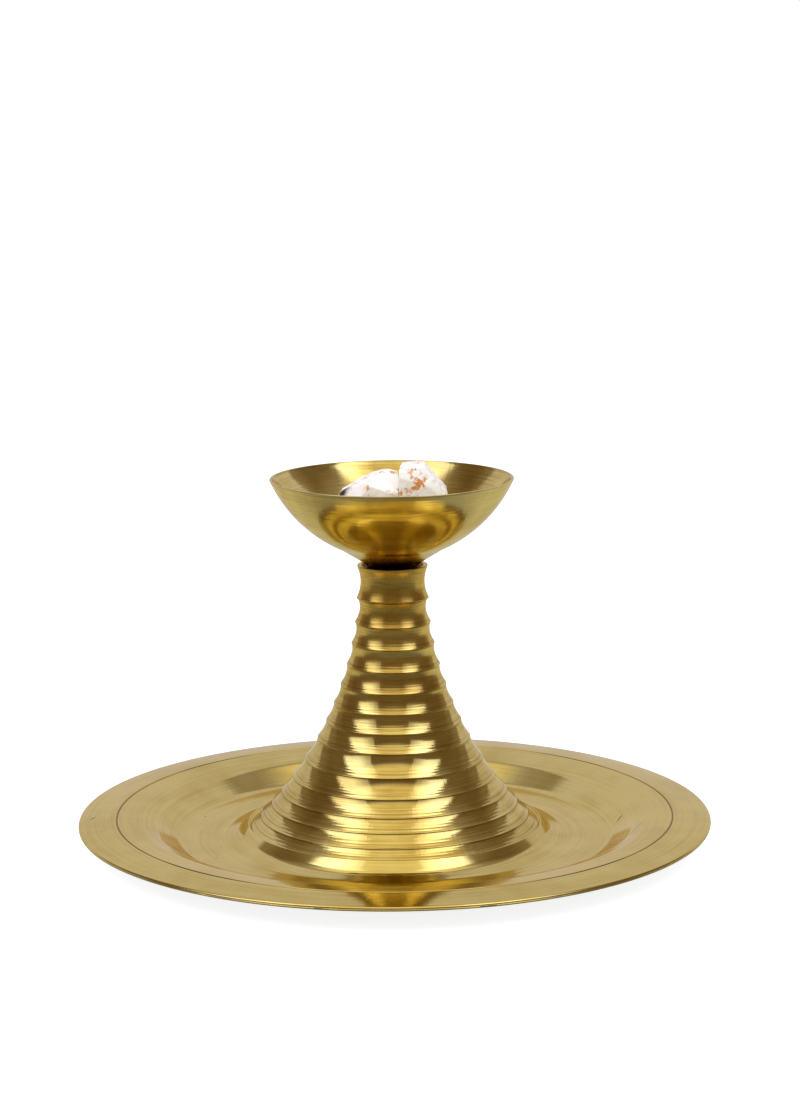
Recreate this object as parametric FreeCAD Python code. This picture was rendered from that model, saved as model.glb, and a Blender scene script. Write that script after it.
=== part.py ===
import FreeCAD, Part
import math
import os

# Camphor lamp on a drip tray: a ribbed, hollow, turned stem stands on the raised hub of a
# spun tray, and a turned bowl on a screwed stud carries two lumps of camphor.
# Millimetres. +Z is up along the turning axis, and the tray rests on the plane Z = 0.

# Tray, spun from sheet
tray_diameter = 152.0
tray_gauge = 1.0
flange_width = 8.8
flange_droop = 0.7
well_depth = 5.7
crease_width = 0.7
crease_depth = 0.22
land_width = 5.6
land_fall = 0.6
cove_width = 5.4
cove_crest_round = 1.6
cove_floor_round = 8.0
hub_height = 2.9
hub_slope_width = 3.2
hub_foot_round = 7.5
hub_ledge = 0.4
spigot_draft = 0.6
spigot_clearance = 0.3

# Stem, turned from a hollow casting
foot_diameter = 69.6
bell_middle_diameter = 28.9
neck_rib_diameter = 17.0
stem_height = 63.3
neck_length = 8.0
stem_wall = 2.6
rib_land = 0.45
foot_land = 0.9
bore_web = 2.7
waist_diameter = 15.32
waist_drop = 3.7
lip_diameter = 16.9
lip_land = 1.05
mouth_depth = 1.9
mouth_clearance = 0.7

# Bowl, turned
bowl_diameter = 57.9
bowl_height = 20.8
bowl_rim_land = 0.65
bowl_heel_diameter = 25.0
bowl_heel_height = 4.1
bowl_foot_diameter = 11.8
bowl_floor_gauge = 1.8

# Fasteners, drawn at their thread's outside diameter
stud_diameter = 6.0
stud_in_bowl = 4.6
stud_in_stem = 8.6
stud_chamfer = 0.5
screw_diameter = 5.0
screw_in_stem = 7.0
screw_head_diameter = 9.0
screw_head_height = 3.0
screw_head_chamfer = 0.9
slot_width = 1.2
slot_depth = 1.3
washer_diameter = 11.0
washer_thickness = 0.8
head_table_clearance = 0.7
thread_clearance = 0.05
tip_clearance = 0.4
through_clearance = 0.25

# Camphor lumps: length across the lamp, depth towards the back, and how far each stands
# above the bowl's rim
left_lump_length = 15.2
left_lump_depth = 15.0
left_lump_proud = 2.1
right_lump_length = 10.8
right_lump_depth = 13.6
right_lump_proud = 3.2
lump_gap = 0.3
lump_seat_clearance = 0.2

# Any cut that has to run past a face runs past it by this much
overrun = 5.0

# Edges of the ribs, as shares of the height from the lowest rib's edge to the neck rib's
rib_height_shares = (1.0, 0.890, 0.794, 0.698, 0.607, 0.522, 0.442, 0.363,
                     0.268, 0.187, 0.110, 0.064, 0.0)
# Lowest rib's edge above the foot, and the bell's middle, as shares of the stem's height
lowest_rib_share = 0.030
bell_middle_share = 0.471
# Step in under each edge, as a share of that edge's radius
rib_step_share = 0.012
# How far each rib's face hollows where its two tapers meet, as a share of its chord
rib_hollow_share = 0.055
# Ends of the bore's straight tapers, as shares of its height from the foot up
bore_taper_shares = (0.0, 0.16, 0.36, 0.64, 1.0)
# How far the bowl's belly swells outside the straight line from heel to rim
belly_share = 0.092

# Heights that follow from the sizes above
floor_top = tray_gauge
crest_top = floor_top + well_depth
rim_top = crest_top - flange_droop
foot_z = floor_top + hub_height
lip_z = foot_z + stem_height
seat_z = lip_z - mouth_depth
neck_rib_z = lip_z - neck_length
stud_bore_end = seat_z - stud_in_stem - tip_clearance
screw_bore_end = stud_bore_end - bore_web
ceiling_z = screw_bore_end - screw_in_stem - tip_clearance
screw_head_top = head_table_clearance + screw_head_height
spigot_top = screw_head_top + washer_thickness + tray_gauge
bowl_rim_z = lip_z + bowl_height
cup_floor_z = seat_z + stud_in_bowl + bowl_floor_gauge

tray_radius = tray_diameter / 2
foot_radius = foot_diameter / 2
bowl_radius = bowl_diameter / 2
stud_radius = stud_diameter / 2
screw_radius = screw_diameter / 2


def at(r, z):
    """A point of a half section: radius from the axis and height."""
    return FreeCAD.Vector(r, 0, z)


def line(start, end):
    return Part.LineSegment(start, end).toShape()


def lines(points):
    """Straight edges from point to point."""
    return [line(a, b) for a, b in zip(points, points[1:])]


def arc(start, middle, end):
    return Part.Arc(start, middle, end).toShape()


def bowed_middle(start, end, share):
    """The middle of a chord, moved to the right of the way by a share of its length."""
    chord = end - start
    return (start + end) / 2 + FreeCAD.Vector(chord.z, 0, -chord.x) * share


def round_corners(corners):
    """Edges along an open run of (point, radius) corners, each rounded by its radius."""
    edges = []
    here = corners[0][0]
    for (before, _), (corner, radius), (after, _) in zip(corners, corners[1:], corners[2:]):
        to_before = (before - corner).normalize()
        to_after = (after - corner).normalize()
        half = to_before.getAngle(to_after) / 2
        reach = radius / math.tan(half)
        bisector = (to_before + to_after).normalize()
        middle = corner + bisector * (radius / math.sin(half) - radius)
        start = corner + to_before * reach
        end = corner + to_after * reach
        edges.append(line(here, start))
        edges.append(arc(start, middle, end))
        here = end
    edges.append(line(here, corners[-1][0]))
    return edges


def turned(edges):
    """The solid that a closed half section makes when it is turned about the axis."""
    section = Part.Face(Part.Wire(edges))
    return section.revolve(FreeCAD.Vector(0, 0, 0), FreeCAD.Vector(0, 0, 1), 360)


def polygon_turned(points):
    return turned(lines(points + [points[0]]))


def save(solid, node):
    solid.exportStep("parts/" + node + ".step")


# The rib edges and the bore both follow one circle through the neck rib, a rib near the
# middle and the foot, which bends away from the axis like a trumpet's bell.
bell = Part.Circle(at(neck_rib_diameter / 2, neck_rib_z),
                   at(bell_middle_diameter / 2, foot_z + stem_height * bell_middle_share),
                   at(foot_radius, foot_z))


def bell_radius(z, inwards=0.0):
    """Radius of the bell at a height, or of the bore that lies a wall's thickness inside."""
    reach = bell.Radius + inwards
    return bell.Center.x - math.sqrt(reach ** 2 - (bell.Center.z - z) ** 2)


stem_bore_radius = bell_radius(foot_z, stem_wall)


def make_tray():
    """Dished tray: flange, creased crest, land, well, and a hub with a spigot for the stem."""
    crest_radius = tray_radius - flange_width
    crease_inner = crest_radius - crease_width
    shoulder_radius = crease_inner - land_width
    cove_foot_radius = shoulder_radius - cove_width
    shelf_radius = foot_radius + hub_ledge
    slope_foot_radius = shelf_radius + hub_slope_width
    # The floor's two roundings lie on it side by side, so neither is larger than its width
    floor_width = cove_foot_radius - slope_foot_radius
    spigot_radius = bell_radius(spigot_top, stem_wall) - spigot_clearance
    hole_radius = screw_radius + through_clearance
    crease = at(crest_radius - crease_width / 2, crest_top - crease_depth)
    upper_face = [line(at(tray_radius, rim_top), at(crest_radius, crest_top)),
                  line(at(crest_radius, crest_top), crease),
                  line(crease, at(crease_inner, crest_top))]
    upper_face += round_corners([
        (at(crease_inner, crest_top), 0),
        (at(shoulder_radius, crest_top - land_fall), cove_crest_round),
        (at(cove_foot_radius, floor_top), min(cove_floor_round, floor_width)),
        (at(slope_foot_radius, floor_top), min(hub_foot_round, floor_width)),
        (at(shelf_radius, foot_z), 0)])
    upper_face += lines([at(shelf_radius, foot_z), at(spigot_radius + spigot_draft, foot_z),
                         at(spigot_radius, spigot_top), at(hole_radius, spigot_top)])
    sheet = Part.Wire(upper_face).makeOffset2D(tray_gauge, 2, True, True, False)
    return sheet.revolve(FreeCAD.Vector(0, 0, 0), FreeCAD.Vector(0, 0, 1), 360)


def make_stem():
    """Ribbed hollow stem: a mouth above, skirts that step down the bell, and an open foot."""
    lip_radius = lip_diameter / 2
    waist_radius = waist_diameter / 2
    mouth_radius = lip_radius - lip_land
    mouth_floor_radius = bowl_foot_diameter / 2 + mouth_clearance
    stud_bore_radius = stud_radius + thread_clearance
    screw_bore_radius = screw_radius + thread_clearance
    lowest_rib_z = foot_z + stem_height * lowest_rib_share
    ribbed_height = neck_rib_z - lowest_rib_z

    outside = lines([at(0, stud_bore_end), at(stud_bore_radius, stud_bore_end),
                     at(stud_bore_radius, seat_z), at(mouth_floor_radius, seat_z),
                     at(mouth_radius, lip_z), at(lip_radius, lip_z)])
    here = at(neck_rib_diameter / 2, neck_rib_z + rib_land)
    outside.append(arc(at(lip_radius, lip_z), at(waist_radius, lip_z - waist_drop), here))

    edges_below = [(lowest_rib_z + ribbed_height * share, rib_land)
                   for share in rib_height_shares[1:]] + [(foot_z, foot_land)]
    edge_z = neck_rib_z
    for next_z, land in edges_below:
        edge = at(here.x, edge_z)
        root = at(here.x * (1 - rib_step_share), edge_z)
        next_top = at(bell_radius(next_z), next_z + land)
        outside += lines([here, edge, root, bowed_middle(root, next_top, rib_hollow_share),
                          next_top])
        here = next_top
        edge_z = next_z

    taper_heights = [foot_z + (ceiling_z - foot_z) * share for share in bore_taper_shares]
    corners = [here, at(here.x, foot_z)]
    corners += [at(bell_radius(z, stem_wall), z) for z in taper_heights]
    corners += [at(screw_bore_radius, ceiling_z), at(screw_bore_radius, screw_bore_end),
                at(0, screw_bore_end), at(0, stud_bore_end)]
    return turned(outside + lines(corners))


# The cup's inside is part of a ball: its radius follows from the rim, the depth and the land.
cup_mouth_radius = bowl_radius - bowl_rim_land
cup_depth = bowl_rim_z - cup_floor_z
cup_ball_radius = (cup_mouth_radius ** 2 + cup_depth ** 2) / (2 * cup_depth)


def make_bowl():
    """Turned bowl: round cup, belly that thickens downwards, cone, and a foot bored blind."""
    foot_r = bowl_foot_diameter / 2
    hole_radius = stud_radius + thread_clearance
    hole_end = seat_z + stud_in_bowl + thread_clearance
    heel = at(bowl_heel_diameter / 2, lip_z + bowl_heel_height)
    rim = at(bowl_radius, bowl_rim_z)
    cup_middle = cup_mouth_radius / 2
    cup_middle_z = (cup_floor_z + cup_ball_radius
                    - math.sqrt(cup_ball_radius ** 2 - cup_middle ** 2))
    foot = lines([at(0, cup_floor_z), at(0, hole_end), at(hole_radius, hole_end),
                  at(hole_radius, seat_z), at(foot_r, seat_z), at(foot_r, lip_z), heel])
    return turned(foot + [
        arc(heel, bowed_middle(heel, rim, belly_share), rim),
        line(rim, at(cup_mouth_radius, bowl_rim_z)),
        arc(at(cup_mouth_radius, bowl_rim_z), at(cup_middle, cup_middle_z), at(0, cup_floor_z))])


def make_stud():
    """Stud that the bowl turns on: chamfered both ends, half in the bowl, half in the stem."""
    top = seat_z + stud_in_bowl
    bottom = seat_z - stud_in_stem
    end_radius = stud_radius - stud_chamfer
    return polygon_turned([at(0, bottom), at(end_radius, bottom),
                           at(stud_radius, bottom + stud_chamfer),
                           at(stud_radius, top - stud_chamfer),
                           at(end_radius, top), at(0, top)])


def make_washer():
    inner = screw_radius + through_clearance
    outer = washer_diameter / 2
    top = screw_head_top + washer_thickness
    return polygon_turned([at(inner, screw_head_top), at(outer, screw_head_top),
                           at(outer, top), at(inner, top)])


def make_screw():
    """Slotted pan-head screw that draws the stem down on the tray from below."""
    head_radius = screw_head_diameter / 2
    head_bottom = head_table_clearance
    tip = ceiling_z + screw_in_stem
    screw = polygon_turned([at(0, head_bottom),
                            at(head_radius - screw_head_chamfer, head_bottom),
                            at(head_radius, head_bottom + screw_head_chamfer),
                            at(head_radius, screw_head_top),
                            at(screw_radius, screw_head_top),
                            at(screw_radius, tip - stud_chamfer),
                            at(screw_radius - stud_chamfer, tip), at(0, tip)])
    slot = Part.makeBox(screw_head_diameter + 2 * overrun, slot_width, slot_depth + overrun)
    slot.translate(FreeCAD.Vector(-head_radius - overrun, -slot_width / 2,
                                  head_bottom - overrun))
    return screw.cut(slot)


def cleaved(block, centre, cuts):
    """Split a lump along flat faces, each given by its heading, tilt and distance."""
    size = 2 * bowl_diameter
    for heading, tilt, distance in cuts:
        waste = Part.makeBox(size, size, size)
        waste.translate(FreeCAD.Vector(distance, -size / 2, -size / 2))
        waste.rotate(FreeCAD.Vector(0, 0, 0), FreeCAD.Vector(0, 1, 0), -tilt)
        waste.rotate(FreeCAD.Vector(0, 0, 0), FreeCAD.Vector(0, 0, 1), heading)
        waste.translate(centre)
        block = block.cut(waste)
    return block


# Cleavage faces as (heading, tilt, distance as a share of the lump's half length): heading
# turns from +X towards the back, tilt lifts the face's normal above the level.
left_lump_cuts = ((180, 38, 0.86), (140, 25, 0.92), (225, 30, 0.90), (300, 55, 1.02),
                  (60, 60, 1.05), (200, 68, 1.10), (90, 20, 0.93), (270, -12, 0.92))
right_lump_cuts = ((20, 42, 1.12), (330, 35, 1.16), (75, 30, 1.22), (280, 25, 1.22),
                   (130, 62, 1.42), (250, 66, 1.44), (0, 10, 0.96), (180, 74, 1.60))


def make_lump(low_x, high_x, depth, proud, cuts):
    """Broken lump of camphor that sits down in the bowl and stands above its rim."""
    top = bowl_rim_z + proud
    block = Part.makeBox(high_x - low_x, depth, top - cup_floor_z)
    block.translate(FreeCAD.Vector(low_x, -depth / 2, cup_floor_z))
    ball = Part.makeSphere(cup_ball_radius - lump_seat_clearance)
    ball.translate(FreeCAD.Vector(0, 0, cup_floor_z + cup_ball_radius))
    half = (high_x - low_x) / 2
    centre = FreeCAD.Vector(low_x + half, 0, top - half)
    faces = [(heading, tilt, share * half) for heading, tilt, share in cuts]
    return cleaved(block.common(ball), centre, faces)


def make_lumps():
    """Two lumps side by side with their outer ends about as far from the axis."""
    whole = left_lump_length + lump_gap + right_lump_length
    start = -whole / 2
    parting = start + left_lump_length
    left = make_lump(start, parting, left_lump_depth, left_lump_proud, left_lump_cuts)
    right = make_lump(parting + lump_gap, parting + lump_gap + right_lump_length,
                      right_lump_depth, right_lump_proud, right_lump_cuts)
    return left, right


os.makedirs("parts", exist_ok=True)
camphor_left, camphor_right = make_lumps()
save(make_tray(), "tray")
save(make_stem(), "stem")
save(make_bowl(), "bowl")
save(make_stud(), "bowl_stud")
save(make_screw(), "tie_screw")
save(make_washer(), "tie_washer")
save(camphor_left, "camphor_left")
save(camphor_right, "camphor_right")
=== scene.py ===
import cmath
import math

import bmesh
import bpy
import numpy as np
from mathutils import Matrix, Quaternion, Vector, noise


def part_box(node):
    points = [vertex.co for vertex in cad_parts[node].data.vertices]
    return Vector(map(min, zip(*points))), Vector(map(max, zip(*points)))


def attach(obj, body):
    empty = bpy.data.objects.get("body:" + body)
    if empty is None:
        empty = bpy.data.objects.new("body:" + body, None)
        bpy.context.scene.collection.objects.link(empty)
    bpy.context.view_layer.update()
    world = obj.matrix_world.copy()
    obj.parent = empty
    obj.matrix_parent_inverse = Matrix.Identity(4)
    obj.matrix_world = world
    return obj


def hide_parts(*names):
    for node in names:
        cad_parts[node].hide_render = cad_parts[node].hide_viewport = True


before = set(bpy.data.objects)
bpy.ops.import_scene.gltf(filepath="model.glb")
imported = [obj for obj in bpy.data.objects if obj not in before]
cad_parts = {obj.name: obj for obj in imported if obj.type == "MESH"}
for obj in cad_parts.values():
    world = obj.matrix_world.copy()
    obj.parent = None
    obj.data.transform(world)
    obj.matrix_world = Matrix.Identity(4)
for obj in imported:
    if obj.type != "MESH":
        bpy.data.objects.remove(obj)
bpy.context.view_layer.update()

# Drip tray: a disc of 1 mm brass sheet, spun over a form into a flat flange, a coved well and a
# raised hub, with a crease scribed inside the flange. It was polished in rings and then used,
# so it has fine circular lines, a few dark nicks, and the soft unevenness of hand spinning.
MM = 0.001  # the sizes of every piece are in millimetres, and this turns them to metres
tray_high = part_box("tray")[1]
stem_low, stem_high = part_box("stem")
tray_radius = tray_high.x / MM
crest_top = tray_high.z / MM
foot_radius = stem_high.x / MM
foot_z = stem_low.z / MM
tray_gauge = 1.0
edge_rounds = (0.55, 0.25)
edge_steps = 6
flange_width = 8.8
flange_droop = 0.7
crease_width = 0.7
crease_depth = 0.3
crease_edge_round = 0.3
crease_bottom_round = 0.12
crease_shade_reach = 0.3
land_width = 5.6
land_fall = 0.6
shoulder_round = 3.0
brow_width = 3.2
brow_fall = 0.9
brow_round = 6.0
cove_width = 6.0
cove_foot_round = 4.0
dish_width = 7.8
dish_rise = 0.2
dish_round = 12.0
hub_slope_width = 6.2
hub_slope_round = 6.0
hub_bend_width = 2.2
hub_bend_rise = 0.9
hub_bend_round = 3.0
hub_ledge = 0.3
hub_edge_round = 0.5
hub_collar = 0.8
collar_round = 0.2
collar_clearance = 0.08
spigot_height = 1.6
spigot_inset = 3.4
spigot_draft = 0.5
spigot_round = 0.5
screw_hole_radius = 2.75
tray_unevenness = 0.05
dent_width = 1000 / 45  # 22 mm
tray_segments = 288


def rounded(corners, steps=8):
    """Points along (radius, height, rounding) corners, in mm, as complex numbers r + zi."""
    points = [complex(*corners[0][:2])]
    for before, corner, after in zip(corners, corners[1:], corners[2:]):
        place = complex(*corner[:2])
        if corner[2] == 0:
            points.append(place)
            continue
        back = complex(*before[:2]) - place
        ahead = complex(*after[:2]) - place
        back, ahead = back / abs(back), ahead / abs(ahead)
        half = abs(cmath.phase(ahead / back)) / 2
        centre = place + (back + ahead) / abs(back + ahead) * corner[2] / math.sin(half)
        spoke = place + back * corner[2] / math.tan(half) - centre
        last = place + ahead * corner[2] / math.tan(half) - centre
        turn = cmath.phase(last / spoke)
        points += [centre + spoke * cmath.exp(1j * turn * k / steps) for k in range(steps + 1)]
    return points + [complex(*corners[-1][:2])]


def set_off(points, gauge):
    """The run of points moved to the left of its way by the sheet's gauge, mitred."""
    run = np.array(points)
    way = np.diff(run) / abs(np.diff(run))
    before = np.append(way[:1], way)
    after = np.append(way, way[-1:])
    miter = before + after
    miter /= abs(miter)
    return list(run + 1j * miter * gauge / (miter / before).real)


def add(tree, kind, *values, **settings):
    """Add a node: settings first, then its inputs in order (plain, socket or node)."""
    node = tree.nodes.new(kind)
    named = settings.pop("named", {})
    for name, value in settings.items():
        setattr(node, name, value)
    shown = [socket for socket in node.inputs if socket.enabled]
    pairs = [*zip(shown, values), *[(node.inputs[name], value) for name, value in named.items()]]
    for socket, value in pairs:
        if isinstance(value, bpy.types.Node):
            value = next(out for out in value.outputs if out.enabled)
        if isinstance(value, bpy.types.NodeSocket):
            tree.links.new(value, socket)
        else:
            socket.default_value = value
    return node


def geometry_tree(name, sockets):
    """A Geometry Nodes tree with a geometry input and output and the named inputs."""
    tree = bpy.data.node_groups.new(name, "GeometryNodeTree")
    tree.interface.new_socket("Geometry", in_out="INPUT", socket_type="NodeSocketGeometry")
    tree.interface.new_socket("Geometry", in_out="OUTPUT", socket_type="NodeSocketGeometry")
    for title, kind in sockets:
        tree.interface.new_socket(title, in_out="INPUT", socket_type="NodeSocket" + kind)
    given = tree.nodes.new("NodeGroupInput").outputs
    made = tree.nodes.new("NodeGroupOutput").inputs
    return tree, given, made


# The lathe: the section's points become columns of a grid, its rows go round the axis, and a
# screw thread, if any, is cut in on the way. Seam and poles are merged at the end.
weld_reach = 0.002
unthreaded = {"Thread Pitch": 1.0, "Thread Depth": 0.0}
lathe, given, made = geometry_tree("turned on the lathe", (
    ("Segments", "Int"), ("Thread Pitch", "Float"), ("Thread Depth", "Float"),
    ("Unevenness", "Float"), ("Material", "Material")))
count = add(lathe, "GeometryNodeAttributeDomainSize", given["Geometry"])
spans = add(lathe, "ShaderNodeMath", count, 1.0, operation="SUBTRACT")
rows = add(lathe, "ShaderNodeMath", given["Segments"], 1.0)
grid = add(lathe, "GeometryNodeMeshGrid", spans, 1.0, count, rows)
cell = add(lathe, "ShaderNodeSeparateXYZ", add(lathe, "GeometryNodeInputPosition"))
half_spans = add(lathe, "ShaderNodeMath", spans, 0.5, operation="MULTIPLY")
column = add(lathe, "ShaderNodeMath", cell.outputs["X"], half_spans)
column = add(lathe, "ShaderNodeMath", column, operation="ROUND")
angle = add(lathe, "ShaderNodeMath", cell.outputs["Y"], 2 * math.pi, operation="MULTIPLY")
section_point = add(lathe, "GeometryNodeSampleIndex", given["Geometry"],
                    add(lathe, "GeometryNodeInputPosition"), column, data_type="FLOAT_VECTOR")
# The section's painted shade is carried round with it
carried = {}
for title in ("along", "edge", "painted_shade_and_nicks", "threaded"):
    value = add(lathe, "GeometryNodeInputNamedAttribute", title, data_type="FLOAT")
    carried[title] = add(lathe, "GeometryNodeSampleIndex", given["Geometry"], value, column)
flat = add(lathe, "ShaderNodeSeparateXYZ", section_point)
turns = add(lathe, "ShaderNodeMath", flat.outputs["Z"], given["Thread Pitch"], operation="DIVIDE")
turns = add(lathe, "ShaderNodeMath", turns, cell.outputs["Y"], operation="SUBTRACT")
# It runs from 0 at a crest to 0.5 at the root, half a turn on, so it is doubled
valley = add(lathe, "ShaderNodeMath", turns, 0.5, operation="PINGPONG")
for factor in (2.0, given["Thread Depth"], carried["threaded"]):
    valley = add(lathe, "ShaderNodeMath", valley, factor, operation="MULTIPLY")
reach = add(lathe, "ShaderNodeMath", flat.outputs["X"], valley, operation="SUBTRACT")
across = []
for part in ("COSINE", "SINE"):
    share = add(lathe, "ShaderNodeMath", angle, operation=part)
    across.append(add(lathe, "ShaderNodeMath", reach, share, operation="MULTIPLY"))
place = add(lathe, "ShaderNodeCombineXYZ", *across, flat.outputs["Z"])
dents = add(lathe, "ShaderNodeTexNoise", place,
            named={"Scale": 1 / (dent_width * MM), "Detail": 1.0})
dents = add(lathe, "ShaderNodeMath", dents, given["Unevenness"], operation="MULTIPLY")
shift = add(lathe, "ShaderNodeCombineXYZ", 0.0, 0.0, dents)
place = add(lathe, "ShaderNodeVectorMath", place, shift)
# The attributes are stored while the grid is still flat, because its places pick the columns
skin = grid
for title in ("along", "edge", "painted_shade_and_nicks"):
    skin = add(lathe, "GeometryNodeStoreNamedAttribute", skin,
               named={"Name": title, "Value": carried[title]})
skin = add(lathe, "GeometryNodeSetPosition", skin, named={"Position": place})
skin = add(lathe, "GeometryNodeMergeByDistance", skin, named={"Distance": weld_reach * MM})
skin = add(lathe, "GeometryNodeSetShadeSmooth", skin)
skin = add(lathe, "GeometryNodeRealizeInstances", skin)
skin = add(lathe, "GeometryNodeSetMaterial", skin, named={"Material": given["Material"]})
lathe.links.new(skin.outputs[0], made["Geometry"])


def section_object(name, points, attributes=()):
    """A half section as a run of edges in the XZ plane, with its length along the run."""
    mesh = bpy.data.meshes.new(name)
    mesh.from_pydata([(p.real * MM, 0, p.imag * MM) for p in points],
                     [(i, i + 1) for i in range(len(points) - 1)], [])
    lengths = np.append(0, np.cumsum(abs(np.diff(points)))) * MM
    for title, values in (("along", lengths), *attributes):
        mesh.attributes.new(title, "FLOAT", "POINT").data.foreach_set("value", list(values))
    piece = bpy.data.objects.new(name, mesh)
    bpy.context.collection.objects.link(piece)
    return piece


def run_tree(piece, tree, settings):
    """Give the piece the tree as a modifier, with the named inputs set by identifier."""
    modifier = piece.modifiers.new(tree.name, "NODES")
    modifier.node_group = tree
    for item in tree.interface.items_tree:
        if item.name in settings:
            modifier[item.identifier] = settings[item.name]


def finished(piece):
    """Turn what the trees made into a plain mesh whose faces point outwards."""
    depsgraph = bpy.context.evaluated_depsgraph_get()
    mesh = bpy.data.meshes.new_from_object(piece.evaluated_get(depsgraph), depsgraph=depsgraph)
    piece.modifiers.clear()
    piece.data = mesh
    shell = bmesh.new()
    shell.from_mesh(mesh)
    bmesh.ops.recalc_face_normals(shell, faces=shell.faces)
    shell.to_mesh(mesh)
    shell.free()
    return piece


def hex_colour(code):
    """An sRGB hex value as a linear colour."""
    shares = [int(code[i:i + 2], 16) / 255 for i in (0, 2, 4)]
    return (*[s / 12.92 if s < 0.04045 else ((s + 0.055) / 1.055) ** 2.4 for s in shares], 1)


# Brass off the lathe, the one metal of tray, stem and bowl. Its lines smear the light across
# them, the tool's chatter breaks them up, and tarnish and wiping leave patches about 12 mm wide.
brass_glint = "FBF1D1"
# Dark brown for painted shade in corners and under edges, and for real nicks
shade_and_nick_colour = "2E200D"
# The neck's warm tint: partly heat, partly a painted warm reflection of the tray
neck_heat_and_reflection_tint = "FFF0CB"
quarter_turn = 0.25
line_wander = 1.5
chatter_per_radian = 80  # about a third of a millimetre apart on the middle ribs
chatter_length = 20 / 3
patch_width = 1000 / 85  # 11.8 mm
line_share = 0.8
tarnish_range = (0.75, 1.20)
wiping_range = (0.7, 1.2)
shade_full, shade_cover = 0.6, 0.8
nick_fade, nick_cover = (0.6, 1.0), 0.75
land_line_place, land_line_fade, land_line_cover = 0.66, (0.02, 0.07), 0.3
neck_range = (25 * MM, 58 * MM)
neck_chatter_share = 0.7
cut_jitter = 4.0
cut_fade = 0.5


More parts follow.
